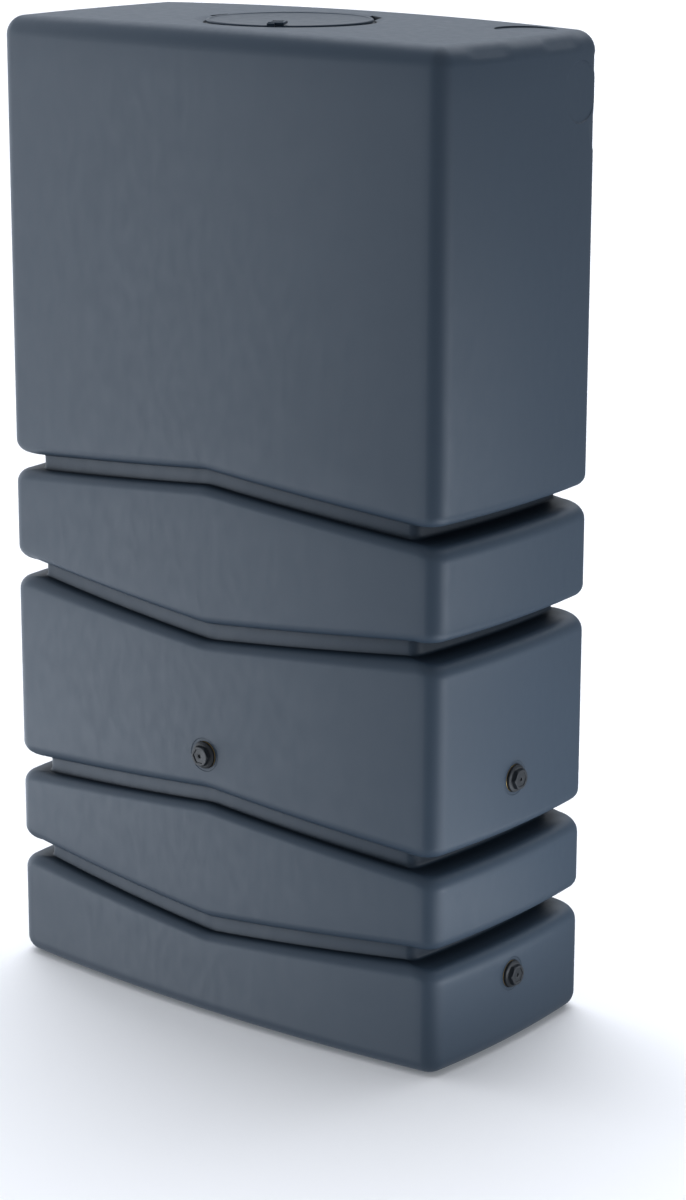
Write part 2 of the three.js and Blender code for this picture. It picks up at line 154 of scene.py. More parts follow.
def smooth_step(value, low, high):
    t = np.clip((value - low) / (high - low), 0, 1)
    return t * t * (3 - 2 * t)


def soft_profile(corners, radius=0.6, steps=3):
    """A line of [radius, height] corners with each inner corner rounded."""
    corners = [np.array(c, float) for c in corners]
    points = [corners[0]]
    for before, corner, after in zip(corners[:-2], corners[1:-1], corners[2:]):
        lengths = [np.linalg.norm(before - corner), np.linalg.norm(after - corner)]
        start = corner + (before - corner) * min(radius / lengths[0], 0.45)
        end = corner + (after - corner) * min(radius / lengths[1], 0.45)
        for k in range(steps + 1):
            t = k / steps
            points.append((1 - t) ** 2 * start + 2 * t * (1 - t) * corner + t**2 * end)
    points.append(corners[-1])
    return points


# ---- Tank: plan outlines ----


def steps_between(*stops):
    """Values from stop to stop, given as (value, steps to the next stop)."""
    values = []
    for (start, count), (end, _) in zip(stops[:-1], stops[1:]):
        values += [start + (end - start) * k / count for k in range(count)]
    return np.array(values + [stops[-1][0]])


END_T = steps_between((0, 20), (1, 0))
CORNER_T = steps_between((0, 9), (1, 0))[1:-1]
FACE_T = steps_between((0, 9), (0.115, 8), (0.3, 9), (0.75, 8), (1, 0))
QUARTER = np.concatenate([END_T, 1 + CORNER_T, 3 - FACE_T[::-1]])


def quarter_plan(plan, p, inset=0.0):
    """Points and normals of a plan's back right quarter.

    p is 0 to 1 on the end, 1 to 2 on the corner and 2 to 3 on the face.
    """
    half_x = plan["width"] / 2 - plan["bow_end"] - plan["corner"]
    half_y = plan["depth"] / 2 - plan["bow_face"] - plan["corner"]
    t = np.clip(p, 0, 1)
    end = np.stack([half_x + plan["bow_end"] * (1 - t * t), half_y * t], -1)
    end_normal = np.stack([np.ones_like(t), 2 * plan["bow_end"] * t / half_y], -1)
    first = math.atan2(2 * plan["bow_end"], half_y)
    last = math.pi / 2 - math.atan2(2 * plan["bow_face"], half_x)
    angle = first + (last - first) * np.clip(p - 1, 0, 1)
    corner = np.stack([np.full_like(p, half_x), np.full_like(p, half_y)], -1)
    corner_normal = np.stack([np.cos(angle), np.sin(angle)], -1)
    t = 3 - np.clip(p, 2, 3)
    face = np.stack([half_x * t, half_y + plan["bow_face"] * (1 - t * t)], -1)
    face_normal = np.stack([2 * plan["bow_face"] * t / half_x, np.ones_like(t)], -1)
    where = [(p <= 1)[:, None], (p < 2)[:, None]]
    points = np.where(where[0], end, np.where(where[1], corner, face))
    normals = np.where(where[0], end_normal, np.where(where[1], corner_normal, face_normal))
    normals /= np.linalg.norm(normals, axis=1)[:, None]
    return points + (plan["corner"] - inset) * normals, normals


def all_round(p):
    """A quarter's values taken anticlockwise round the whole plan, from the middle of the back.

    Gives four rows: p, the sign of x, the sign of y, and the place, which runs from 0 to 12.
    """
    back = p[::-1]
    parts = [
        (back, -1, 1, 3 - back),
        (p[1:], -1, -1, 3 + p[1:]),
        (back[1:], 1, -1, 9 - back[1:]),
        (p[1:-1], 1, 1, 9 + p[1:-1]),
    ]
    return [np.concatenate([np.full_like(part[0], part[k]) for part in parts]) for k in range(4)]


ROUND_P, ROUND_X, ROUND_Y, ROUND_Q = all_round(QUARTER)
COUNT = len(ROUND_P)
# How far each place has gone towards a face's middle, with the crease there slightly rounded.
CREASE = 0.016
FACE_SHARE = 1 - (np.sqrt((3 - np.clip(ROUND_P, 2, 3)) ** 2 + CREASE**2) - CREASE) / (
    math.sqrt(1 + CREASE**2) - CREASE
)


def full_plan(plan, inset=0.0):
    points, normals = quarter_plan(plan, ROUND_P, inset)
    signs = np.stack([ROUND_X, ROUND_Y], -1)
    return points * signs, normals * signs


DENSE_P, DENSE_X, DENSE_Y, DENSE_Q = all_round(np.linspace(0, 3, 1501))
DENSE_XY, DENSE_N = quarter_plan(BAND, DENSE_P)
DENSE_XY = DENSE_XY * np.stack([DENSE_X, DENSE_Y], -1)
DENSE_N = DENSE_N * np.stack([DENSE_X, DENSE_Y], -1)
DENSE_S = np.concatenate([[0], np.cumsum(np.linalg.norm(np.diff(DENSE_XY, axis=0), axis=1))])
ROUND_S = np.interp(ROUND_Q, DENSE_Q, DENSE_S)


def outline(s, inset=0.0):
    """Points on the bands' outline at distances s round it."""
    xy = np.stack([np.interp(s, DENSE_S, DENSE_XY[:, k]) for k in range(2)], -1)
    normal = np.stack([np.interp(s, DENSE_S, DENSE_N[:, k]) for k in range(2)], -1)
    return xy - inset * normal


def distance_round(x, y):
    """The distance round the outline of the place nearest to (x, y)."""
    return DENSE_S[int(np.argmin(np.hypot(DENSE_XY[:, 0] - x, DENSE_XY[:, 1] - y)))]


def crown_at(x):
    return CROWN * (1 - (x / (WIDTH / 2 - BAND["bow_end"])) ** 2)


# ---- Tank: details in its surface ----

GRIP_TILT = math.radians(36)
GRIP_DEPTH = 2.4
PAD = {"r": 42.0, "y": 124.0, "z": 1322.0, "depth": 1.3}
TOP_PAD = {"r": 42.0, "x": 316.0, "y": 104.0, "depth": 1.8}


def half_y_of(plan):
    return plan["depth"] / 2 - plan["bow_face"] - plan["corner"]


def pad_frame(side):
    """The centre and outward normal of a drilling pad high on an end."""
    half = half_y_of(BAND)
    t = PAD["y"] / half
    lean = math.atan(2 * BAND["bow_end"] * t / half)
    x = WIDTH / 2 - BAND["bow_end"] * t * t - PAD["depth"]
    return np.array([side * x, PAD["y"], PAD["z"]]), np.array([side * math.cos(lean), math.sin(lean), 0])


def dented(points):
    """The outer skin's points with the drilling pads and the grip dents pressed in."""
    points = points.copy()
    for side in (1, -1):
        centre, normal = pad_frame(side)
        above = (points - centre) @ normal
        off = points - centre - above[:, None] * normal
        share = 1 - smooth_step(np.linalg.norm(off, axis=1), PAD["r"] - 0.9, PAD["r"] + 0.3)
        near = (above > 0) & (above < 6)
        points -= (np.where(near, above * share, 0))[:, None] * normal
        tilt = np.array([side * math.cos(GRIP_TILT), 0, math.sin(GRIP_TILT)])
        half = half_y_of(BAND)
        arc_x = WIDTH / 2 - BAND["bow_end"] * (points[:, 1] / half) ** 2 - TOP_ROUND
        height = (points[:, 0] * side - arc_x) * math.cos(GRIP_TILT)
        height += (points[:, 2] - HEIGHT + TOP_ROUND) * math.sin(GRIP_TILT) - (TOP_ROUND - GRIP_DEPTH)
        along = np.abs(points[:, 1])
        share = smooth_step(along, 32, 50) * (1 - smooth_step(along, 108, 128))
        near = (height > 0) & (height < 8) & (points[:, 0] * side > 0)
        points -= (np.where(near, height * share, 0))[:, None] * tilt
    return points


# ---- Tank: rings from the base to the top ----


def edge_ring(wall, groove, level, edge, angle):
    outer, normal = full_plan(BAND, wall)
    inner, _ = full_plan(FLOOR_PLAN, wall)
    depth = ((outer - inner) * normal).sum(1)
    radius = np.minimum(edge["round"], 0.96 * depth) - wall
    share = radius * (1 - math.sin(angle)) / depth
    fall = wall + radius * (1 - math.cos(angle)) + edge["draft"] * (depth - radius)
    xy = outer + (inner - outer) * share[:, None]
    return np.column_stack([xy, level + edge["up"] * fall + groove[2] * FACE_SHARE])


def floor_ring(wall, groove, z):
    inner, _ = full_plan(FLOOR_PLAN, wall)
    return np.column_stack([inner, z + groove[2] * FACE_SHARE])


def rounded_corner(before, corner, after, radius, steps):
    """Rings that turn a corner between three rings on a curve."""

    def towards(other):
        length = np.linalg.norm(other - corner, axis=1)
        return corner + (other - corner) * np.minimum(radius / length, 0.45)[:, None]

    start, end = towards(before), towards(after)
    shares = [k / steps for k in range(steps + 1)]
    return [(1 - t) ** 2 * start + 2 * t * (1 - t) * corner + t * t * end for t in shares]


def between(low, high, shares):
    return [low + (high - low) * t for t in shares]


BAND_STEPS = [
    np.linspace(0, 1, 12)[1:-1],
    np.linspace(0, 1, 6)[1:-1],
    np.concatenate([np.linspace(0, 0.5, 14)[1:], np.linspace(0.5, 1, 6)[1:-1]]),
    np.linspace(0, 1, 6)[1:-1],
    np.linspace(0, 1, 14)[1:-1],
]


def tank_rings(wall, arc_steps, corner_steps):
    """Rings of points up the side, from the rim of the flat base to the rim of the top."""
    angles = [math.pi / 2 * k / arc_steps for k in range(arc_steps + 1)]
    rings = []
    for angle in angles:
        radius = BASE_ROUND - wall
        xy, _ = full_plan(BAND, wall + radius * (1 - math.sin(angle)))
        rings.append(np.column_stack([xy, np.full(COUNT, BASE_ROUND - radius * math.cos(angle))]))
    for groove, shares in zip(GROOVES, BAND_STEPS):
        lower, upper, _ = groove
        shoulder = [edge_ring(wall, groove, lower, SHOULDER, a) for a in angles[::-1]]
        lip = [edge_ring(wall, groove, upper, LIP, a) for a in angles]
        foot, ceiling = floor_ring(wall, groove, lower - wall), floor_ring(wall, groove, upper + wall)
        rings += between(rings[-1], shoulder[0], shares) + shoulder
        rings += rounded_corner(shoulder[-1], foot, ceiling, 4.5, corner_steps)
        rings += rounded_corner(foot, ceiling, lip[0], 4.5, corner_steps)
        rings += lip
    rounding = []
    for angle in angles:
        radius = TOP_ROUND - wall
        xy, _ = full_plan(BAND, wall + radius * (1 - math.cos(angle)))
        z = HEIGHT - TOP_ROUND + radius * math.sin(angle) + crown_at(xy[:, 0]) * math.sin(angle)
        rounding.append(np.column_stack([xy, z]))
    return rings + between(rings[-1], rounding[0], BAND_STEPS[4]) + rounding


def side_window(rings, s0, z0, reach, slack):
    """The block of cells round a circle: (first level, last level, first point, last point)."""
    i0 = int(np.searchsorted(ROUND_S, s0 - reach - 1.5)) - 1
    i1 = int(np.searchsorted(ROUND_S, s0 + reach + 1.5))
    heights = np.array([ring[i0 : i1 + 1, 2] for ring in rings])
    l0 = int(np.max(np.nonzero(heights.max(1) < z0 - reach - slack)[0]))
    l1 = int(np.min(np.nonzero(heights.min(1) > z0 + reach + slack)[0]))
    return l0, l1, i0, i1


def block_loop(numbers, l0, l1, i0, i1):
    """The rim of a block of cells, anticlockwise from outside."""
    return np.concatenate([
        numbers[l0, i0:i1],
        numbers[l0:l1, i1],
        numbers[l1, i1:i0:-1],
        numbers[l1:l0:-1, i0],
    ])


def grid_faces(skin, numbers, blocks, closed, flip):
    """Faces of a grid of point numbers, but for those in the blocks."""
    keep = np.ones((numbers.shape[0] - 1, numbers.shape[1] if closed else numbers.shape[1] - 1), bool)
    for l0, l1, i0, i1 in blocks:
        keep[l0:l1, i0:i1] = False
    wide = np.concatenate([numbers, numbers[:, :1]], 1) if closed else numbers
    a, b, c, d = wide[:-1, :-1], wide[:-1, 1:], wide[1:, 1:], wide[1:, :-1]
    quads = np.stack([a, b, c, d] if not flip else [a, d, c, b], -1)[keep]
    skin.faces.extend(quads.tolist())


# ---- Outlets ----

PORT_NAMES = ("front", "right_upper", "right_lower", "left_upper", "left_lower")
OUTWARD = {"front": (0, -1, 0), "right": (1, 0, 0), "left": (-1, 0, 0)}
PORT_GAP = 0.3
WASHER_THICK = 2.0


class Port:
    """An outlet's own frame, from the middle of its seat: seen from outside, a is right, b up, w outwards."""

    def __init__(self, name):
        self.name = name
        self.w = np.array(OUTWARD[name.split("_")[0]], float)
        self.b = np.array([0.0, 0.0, 1.0])
        self.a = np.cross(self.b, self.w)
        low, high = (np.array(corner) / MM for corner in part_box(f"{name}_plug_washer"))
        self.seat = (low + high) / 2 - self.w * (WASHER_THICK / 2 + PORT_GAP)
        self.s = distance_round(*(self.seat + self.w)[:2])
        self.z = self.seat[2]

    def circle(self, radius, height, angles):
        """Points at a radius and a height above the seat, both numbers or one for each angle."""
        radius, height = np.broadcast_arrays(radius, height, angles)[:2]
        across = radius * np.cos(angles)
        up = radius * np.sin(angles)
        return self.seat + np.outer(across, self.a) + np.outer(up, self.b) + np.outer(height, self.w)


PORTS = [Port(name) for name in PORT_NAMES]
PORT_ANGLES = np.linspace(0, 2 * np.pi, 72, endpoint=False)
# From the seat's rim to the boss's inner end: [radius, height above the seat].
PORT_PROFILE = [
    (24.0, 0.15), (23.8, 0), (21.5, 0), (19.9, 0), (19.6, -0.3), (19.6, -5.7), (20.3, -5.7), (20.3, -12.3),
    (16.3, -12.3), (16.3, -18.3), (12.6, -18.3), (12.4, -18.5), (12.4, -23.6), (12.8, -24), (23.4, -24),
    (24, -23.4),
]


def add_side(skin, wall, arc_steps, corner_steps, flip):
    """Adds the side's skin and returns its point numbers by level, with its rim loops round the outlets."""
    rings = tank_rings(wall, arc_steps, corner_steps)
    if not flip:
        rings = [dented(ring) for ring in rings]
    numbers = np.array([skin.add(ring) for ring in rings])
    reach = 25.4 if not flip else 24.0
    blocks = [side_window(rings, port.s, port.z, reach, 0.2) for port in PORTS]
    extra = []
    if not flip:
        for side in (1, -1):
            centre, _ = pad_frame(side)
            s0 = distance_round(centre[0], centre[1])
            extra.append((s0, side_window(rings, s0, PAD["z"], PAD["r"] + 3, 0.2)))
    grid_faces(skin, numbers, blocks + [block for _, block in extra], True, flip)
    return numbers, blocks, extra


def angles_about(skin_points, loop, s0, z0):
    """The angle of each loop point round a centre, in the plane unrolled from the side."""
    place = ROUND_S[loop % COUNT]
    return np.arctan2(skin_points[loop][:, 2] - z0, place - s0)


def add_pad(skin, numbers, s0, block):
    """Fills a block of the side with fine rings round a drilling pad."""
    loop = block_loop(numbers, *block)
    points = np.concatenate(skin.points)
    angles = np.linspace(0, 2 * np.pi, 96, endpoint=False)
    rim = PAD["r"]
    radii = [rim + 2, rim + 1.2, rim + 0.6, rim + 0.2, *np.linspace(rim - 0.1, rim - 0.9, 4), rim - 2]
    rows = []
    for radius in [*radii, 34, 26, 18, 10, 4]:
        xy = outline(s0 + radius * np.cos(angles))
        rows.append(skin.add(dented(np.column_stack([xy, PAD["z"] + radius * np.sin(angles)]))))
    skin.zip(loop, rows[0], angles_about(points, loop, s0, PAD["z"]), angles)
    skin.quads(rows)
    middle = dented(np.array([[*outline(np.array([s0]))[0], PAD["z"]]]))[0]
    skin.fan(rows[-1], middle)


def add_ports(skin, outside, inside):
    """Joins the outer and the inner skin through the seat, the insert's space and the boss of each outlet."""
    points = np.concatenate(skin.points)
    for port, outer_block, inner_block in zip(PORTS, outside[1], inside[1]):
        outer_loop = block_loop(outside[0], *outer_block)
        inner_loop = block_loop(inside[0], *inner_block)

        def on_skin(radius, inset):
            xy = outline(port.s + radius * np.cos(PORT_ANGLES), inset)
            return np.column_stack([xy, port.z + radius * np.sin(PORT_ANGLES)])

        rows = [skin.add(on_skin(radius, 0)) for radius in (25.4, 24.9, 24.6)]
        rows += [skin.add(port.circle(r, h, PORT_ANGLES)) for r, h in PORT_PROFILE]
        rows.append(skin.add(on_skin(24.0, WALL)))
        skin.zip(outer_loop, rows[0], angles_about(points, outer_loop, port.s, port.z), PORT_ANGLES)
        skin.quads(rows)
        skin.zip(rows[-1], inner_loop, PORT_ANGLES, angles_about(points, inner_loop, port.s, port.z))


# ---- Tank: top, dish and neck ----

NOTCH_ANGLES = np.radians([-60, 60, 180])
NOTCH_HALF = math.asin(17.0 / 121)  # half a notch's width as an angle, at the end of the lock's nose
NOTCH_R = 130.0
DISH_FLOOR = 1398.5
TOP_ROWS = 40
LEFT_TO_RIGHT = np.arange(-(COUNT // 4), COUNT // 4 + 1)


def angle_between(a, b):
    return np.abs((a - b + np.pi) % (2 * np.pi) - np.pi)


def dish_angles():
    """Even angles round the lid, and close pairs at both sides of every notch."""
    plain = np.linspace(0, 2 * np.pi, 216, endpoint=False)
    edges = np.mod([angle + side * NOTCH_HALF for angle in NOTCH_ANGLES for side in (-1, 1)], 2 * np.pi)
    gap = angle_between(plain[:, None], edges[None]).min(1)
    fine = np.concatenate([edges + offset for offset in np.radians([-0.35, -0.12, 0.12, 0.35])])
    return np.sort(np.concatenate([plain[gap > math.radians(0.6)], np.mod(fine, 2 * np.pi)]))


DISH_ANGLES = dish_angles()
# 1 inside a notch and 0 outside, for every angle.
NOTCH_SHARE = sum(
    1 - smooth_step(angle_between(DISH_ANGLES, angle), *(NOTCH_HALF + np.radians([-0.13, 0.13])))
    for angle in NOTCH_ANGLES
)


def smallest(a, b, blend):
    """The smaller of two heights, with the change between them rounded."""
    h = np.clip(0.5 + 0.5 * (b - a) / blend, 0, 1)
    return b + (a - b) * h - blend * h * (1 - h)


def dish_height(radius):
    """The height of the top round the lid at one radius, for every angle."""
    top = HEIGHT + crown_at(LID_X + radius * np.cos(DISH_ANGLES))
    cone = 1401 + (radius - 119) * 4.3 / 14 if radius > 119 else 1401 - (119 - radius) * 5 / 3
    cone = max(cone, DISH_FLOOR)
    plain = smallest(top, np.full_like(top, cone), 1.2)
    inside = NOTCH_SHARE * (1 - smooth_step(radius, NOTCH_R - 0.4, NOTCH_R + 0.4)) * (radius > 100)
    return plain + (DISH_FLOOR - plain) * inside


DISH_RADII = [
    150, 144, 139, 136.5, 135, 134, 133.2, 132.5, 131.8, 131.2, 130.7, 130.35, 130.1, 129.9, 129.65, 129.3,
    128, 126, 124, 122, 120.4, 119.6, 119.1, 118.7, 118.2, 117.7, 117.2, 116, 112, 108, 105, 104.2,
]
# From the dish's floor down the neck's bore and back up outside it: (radius, height).
NECK_PROFILE = [
    (103.6, 1398.3), (103.15, 1397.8), (103, 1397), (103, 1386), (103, 1367), (103.5, 1366.2), (104.2, 1366),
    (106.3, 1366), (107.1, 1366.3), (107.5, 1367), (107.5, 1391), (108.3, 1393.2), (110.5, 1394), (139, 1394),
    (140.6, 1394.6),
]
INNER_RIM_R = 141.0


def about_lid(radius, height, angles):
    return np.column_stack([LID_X + radius * np.cos(angles), LID_Y + radius * np.sin(angles), height])


def top_grid(skin, ring):
    """Point numbers of the flat top, in rows from the front to the back, each from left to right."""
    front = ring[(COUNT // 2 + LEFT_TO_RIGHT) % COUNT]
    back = ring[(-LEFT_TO_RIGHT) % COUNT]
    rows = []
    for share in np.linspace(0, 1, TOP_ROWS + 1):
        row = front + (back - front) * share
        row[:, 2] = ring[:, 2][(-LEFT_TO_RIGHT) % COUNT]
        rows.append(row)
    return np.array([skin.add(row) for row in rows]), np.array(rows)


def top_window(rows, x0, y0, reach):
    """The block of cells of a top grid round a circle: (first row, last row, first point, last point)."""
    m0 = int(np.max(np.nonzero(rows[0][:, 0] < x0 - reach - 1)[0]))
    m1 = int(np.min(np.nonzero(rows[0][:, 0] > x0 + reach + 1)[0]))
    heights = rows[:, m0 : m1 + 1, 1]
    j0 = int(np.max(np.nonzero(heights.max(1) < y0 - reach - 0.5)[0]))
    j1 = int(np.min(np.nonzero(heights.min(1) > y0 + reach + 0.5)[0]))
    return j0, j1, m0, m1


def polar_angles(skin, loop, x0, y0):
    points = np.concatenate(skin.points)[loop]
    return np.arctan2(points[:, 1] - y0, points[:, 0] - x0)


def add_top(skin, outer_ring, inner_ring):
    """Adds the outer and inner top and joins them through the dish, its notches and the neck."""
    numbers, rows = top_grid(skin, outer_ring)
    dish_block = top_window(rows, LID_X, LID_Y, DISH_RADII[0])
    pad_block = top_window(rows, TOP_PAD["x"], TOP_PAD["y"], TOP_PAD["r"] + 1)
    grid_faces(skin, numbers, [dish_block, pad_block], False, False)

    flat = np.ones_like(DISH_ANGLES)
    circles = [skin.add(about_lid(radius, dish_height(radius), DISH_ANGLES)) for radius in DISH_RADII]
    circles += [skin.add(about_lid(radius, z * flat, DISH_ANGLES)) for radius, z in NECK_PROFILE]
    inner_z = HEIGHT - WALL + crown_at(LID_X + INNER_RIM_R * np.cos(DISH_ANGLES))
    circles.append(skin.add(about_lid(INNER_RIM_R, inner_z, DISH_ANGLES)))
    loop = block_loop(numbers, *dish_block)
    skin.zip(loop, circles[0], polar_angles(skin, loop, LID_X, LID_Y), DISH_ANGLES)
    skin.quads(circles)

    inner_numbers, inner_rows = top_grid(skin, inner_ring)
    inner_block = top_window(inner_rows, LID_X, LID_Y, INNER_RIM_R)
    grid_faces(skin, inner_numbers, [inner_block], False, True)
    inner_loop = block_loop(inner_numbers, *inner_block)
    skin.zip(circles[-1], inner_loop, DISH_ANGLES, polar_angles(skin, inner_loop, LID_X, LID_Y))

    angles = np.linspace(0, 2 * np.pi, 96, endpoint=False)
    floor_z = HEIGHT + crown_at(TOP_PAD["x"]) - TOP_PAD["depth"]
    rim = TOP_PAD["r"]
    edge = [(rim + 0.5, 0), (rim + 0.1, 0.06), (rim - 0.2, 0.35), (rim - 0.4, 0.75), (rim - 0.8, 0.97)]
    pads = []
    for radius, share in [*edge, (rim - 1.3, 1), (30, 1), (15, 1)]:
        x = TOP_PAD["x"] + radius * np.cos(angles)
        y = TOP_PAD["y"] + radius * np.sin(angles)
        top = HEIGHT + crown_at(x)
        pads.append(skin.add(np.column_stack([x, y, top + (floor_z - top) * share])))
    loop = block_loop(numbers, *pad_block)
    skin.zip(loop, pads[0], polar_angles(skin, loop, TOP_PAD["x"], TOP_PAD["y"]), angles)
    skin.quads(pads)
    skin.fan(pads[-1], (TOP_PAD["x"], TOP_PAD["y"], floor_z))


def flat_bottom(skin, ring, flip):
    """Closes the base with rungs from front to back."""
    front = skin.add(ring[(COUNT // 2 + LEFT_TO_RIGHT) % COUNT])
    back = skin.add(ring[(-LEFT_TO_RIGHT) % COUNT])
    grid_faces(skin, np.array([back, front]), [], False, flip)


# ---- Quick thread ----

THREAD_LEAD = 120.0
LUG_SPAN = 32.0
LUG_HEIGHT = 5.0
LUG_TOP = 1380.5


def add_lugs(skin, inner, outer, lift):
    """Helical lugs with rounded edges, one for each notch."""
    steps = 16
    for middle in np.degrees(NOTCH_ANGLES):
        rows = []
        for k in range(steps + 1):
            turn = LUG_SPAN * k / steps
            angle = math.radians(middle - LUG_SPAN / 2 + turn)
            top = LUG_TOP + THREAD_LEAD / 360 * turn + lift
            low, high = top - LUG_HEIGHT, top
            ends = 0.9 if k in (0, steps) else 0.0
            corner = 0.7 + ends
            section = np.array([
                (inner, low + corner), (inner + corner, low),
                (outer - corner, low), (outer, low + corner),
                (outer, high - corner), (outer - corner, high),
                (inner + corner, high), (inner, high - corner),
            ])
            rows.append(skin.add(about_lid(section[:, 0], section[:, 1], angle)))
        skin.quads(rows[::-1])
        for row, flip in ((rows[0], True), (rows[-1], False)):
            middle_point = np.concatenate(skin.points)[row].mean(0)
            skin.fan(row, middle_point, flip)


def tank():
    skin = Skin()
    outside = add_side(skin, 0, 8, 4, False)
    inside = add_side(skin, WALL, 3, 2, True)
    add_ports(skin, outside, inside)
    for s0, block in outside[2]:
        add_pad(skin, outside[0], s0, block)
    points = np.concatenate(skin.points)
    add_top(skin, points[outside[0][-1]], points[inside[0][-1]])
    flat_bottom(skin, points[outside[0][0]], False)
    flat_bottom(skin, points[inside[0][0]], True)
    add_lugs(skin, 99, 103.8, LUG_HEIGHT + 0.5)
    return skin.object("tank_shell")


# ---- Turned pieces ----


def add_turned(skin, profile, angles, place):
    """Turns a profile of (radius, height), each a number or one value for every angle, run anticlockwise."""
    shape = angles.shape
    rows = [skin.add(place(np.broadcast_to(r, shape), np.broadcast_to(h, shape), angles)) for r, h in profile]
    skin.quads(rows)
    return rows


def closed_turned(corners, place, count, rounding, poles):
    """A skin turned from a rounded outline, whose ends are on the axis with poles and meet without."""
    skin = Skin()
    angles = np.linspace(0, 2 * np.pi, count, endpoint=False)
    if poles:
        profile = soft_profile(corners, rounding)
        rows = add_turned(skin, profile[1:-1], angles, place)
        for row, (_, height), flip in ((rows[0], profile[0], True), (rows[-1], profile[-1], False)):
            skin.fan(row, place(np.zeros(1), np.array([height]), np.zeros(1))[0], flip)
    else:
        start = (np.array(corners[0]) + np.array(corners[-1])) / 2
        profile = soft_profile([start, *corners, start], rounding)
        rows = add_turned(skin, profile, angles, place)
    return skin


# ---- Lid, seal and lock slide ----

LOCK_ANGLE = NOTCH_ANGLES[0]
LOCK_AXIS = np.array([math.cos(LOCK_ANGLE), math.sin(LOCK_ANGLE), 0])
LOCK_SIDE = np.array([-math.sin(LOCK_ANGLE), math.cos(LOCK_ANGLE), 0])


def on_radius(radial, across, z):
    """A point at a distance out along the lock's radius, to its left, and up."""
    return np.array([LID_X, LID_Y, 0]) + radial * LOCK_AXIS + across * LOCK_SIDE + np.array([0, 0, z])


def bar(name, low, high, bevel=0.0):
    """A block along the lock's radius, with its edges rounded."""
    bm = bmesh.new()
    plan = [(low[0], low[1]), (high[0], low[1]), (high[0], high[1]), (low[0], high[1])]
    corners = [(x, y, z) for z in (low[2], high[2]) for x, y in plan]
    verts = [bm.verts.new(on_radius(*corner) * MM) for corner in corners]
    for face in ((3, 2, 1, 0), (4, 5, 6, 7), (0, 1, 5, 4), (1, 2, 6, 5), (2, 3, 7, 6), (3, 0, 4, 7)):
        bm.faces.new([verts[k] for k in face])
    if bevel:
        bmesh.ops.bevel(bm, geom=bm.edges[:], offset=bevel * MM, segments=3, profile=0.6, affect="EDGES")
    mesh = bpy.data.meshes.new(name)
    bm.to_mesh(mesh)
    bm.free()
    return mesh


def combined(name, base, steps, sharp=32.0):
    """base with meshes added or cut away in turn, as one finished piece."""
    piece = bpy.data.objects.new(name, base.data if isinstance(base, bpy.types.Object) else base)
    bpy.context.scene.collection.objects.link(piece)
    if isinstance(base, bpy.types.Object):
        bpy.data.objects.remove(base)
    tools = []
    for operation, mesh in steps:
        tool = bpy.data.objects.new("tool", mesh)
        bpy.context.scene.collection.objects.link(tool)
        tools.append(tool)
        modifier = piece.modifiers.new("part", "BOOLEAN")
        modifier.operation = operation
        modifier.solver = "EXACT"
        modifier.object = tool
    bpy.context.view_layer.update()
    evaluated = piece.evaluated_get(bpy.context.evaluated_depsgraph_get())
    mesh = bpy.data.meshes.new_from_object(evaluated)
    mesh.materials.clear()
    for gone in [piece, *tools]:
        bpy.data.objects.remove(gone)
    return finished(name, mesh, sharp)


LID_PROFILE = [
    (0, 1401.5), (93.5, 1401.5), (93.5, 1374), (97.5, 1374), (97.5, 1401.5), (114.4, 1401.5), (115, 1402.2),
    (115, 1404.6), (113.9, 1405.6), (111, 1405.6), (109.4, 1404.4), (0, 1404.4),
]


def lid():
    shell = closed_turned(LID_PROFILE, about_lid, 216, 0.45, True).object("lid_turned")
    lugs = Skin()
    add_lugs(lugs, 96.8, 102.2, 0)
    lug_mesh = bpy.data.meshes.new("lugs")
    lug_mesh.from_pydata((np.concatenate(lugs.points) * MM).tolist(), [], lugs.faces)
    steps = [
        ("UNION", lug_mesh),
        ("UNION", bar("boss", (68, -13, 1396), (95, 13, 1402.4))),
        ("DIFFERENCE", bar("slot", (74.7, -4.3, 1398.5), (92.3, 4.3, 1410))),
        ("DIFFERENCE", bar("foot_space", (74.7, -7.3, 1398.5), (92.3, 7.3, 1401.1))),
        ("DIFFERENCE", bar("nose_space", (108.7, -11.3, 1400.5), (120, -0.7, 1407))),
    ]
    return combined("lid_disc", shell, steps)


def lock_slide():
    top = lid_high[2] + 0.3
    steps = [
        ("UNION", bar("stem", (82, -4, 1398.8), (92, 4, top + 0.6))),
        ("UNION", bar("foot", (82, -7, 1398.8), (92, 7, 1400.8))),
        ("UNION", bar("nose", (110.5, -11, 1406.4), (121, -1, 1408.9), 0.35)),
        ("UNION", bar("nose_tip", (116, -11, 1400.8), (121, -1, 1407.4), 0.35)),
        ("DIFFERENCE", bar("thumb", (88.5, -8, 1408.7), (108.5, 8, 1412), 0.5)),
    ]
    for x in (92, 96.2, 100.4, 104.6):
        steps.append(("UNION", bar("ridge", (x, -7.4, 1408), (x + 1.5, 7.4, 1409.6), 0.3)))
    return combined("lock_slide", bar("plate", (82, -11, top), (114.5, 11, 1410), 1.1), steps)


def seal():
    corners = [(97.9, 1398.8), (108, 1398.8), (108, 1401.2), (97.9, 1401.2)]
    return closed_turned(corners, about_lid, 180, 0.7, False).object("lid_seal_ring")


# ---- Outlet pieces ----

THREAD_PITCH = 25.4 / 14


def threaded(radius, depth, height, angles):
    """The radius of a right-handed thread at one height: it rises by its depth at the crest."""
    turn = np.mod(height / THREAD_PITCH - angles / (2 * np.pi), 1)
    wave = 1 - np.abs(2 * turn - 1)
    return radius + depth * np.clip(1.25 * wave - 0.125, 0, 1)


def hexagon(flats, angles, rounding=0.0):
    """The radius of a pointed-up hexagon at each angle."""
    turn = np.mod(angles, math.pi / 3) - math.pi / 6
    radius = flats / 2 / np.cos(turn)
    return np.minimum(radius, flats / math.sqrt(3) - rounding)


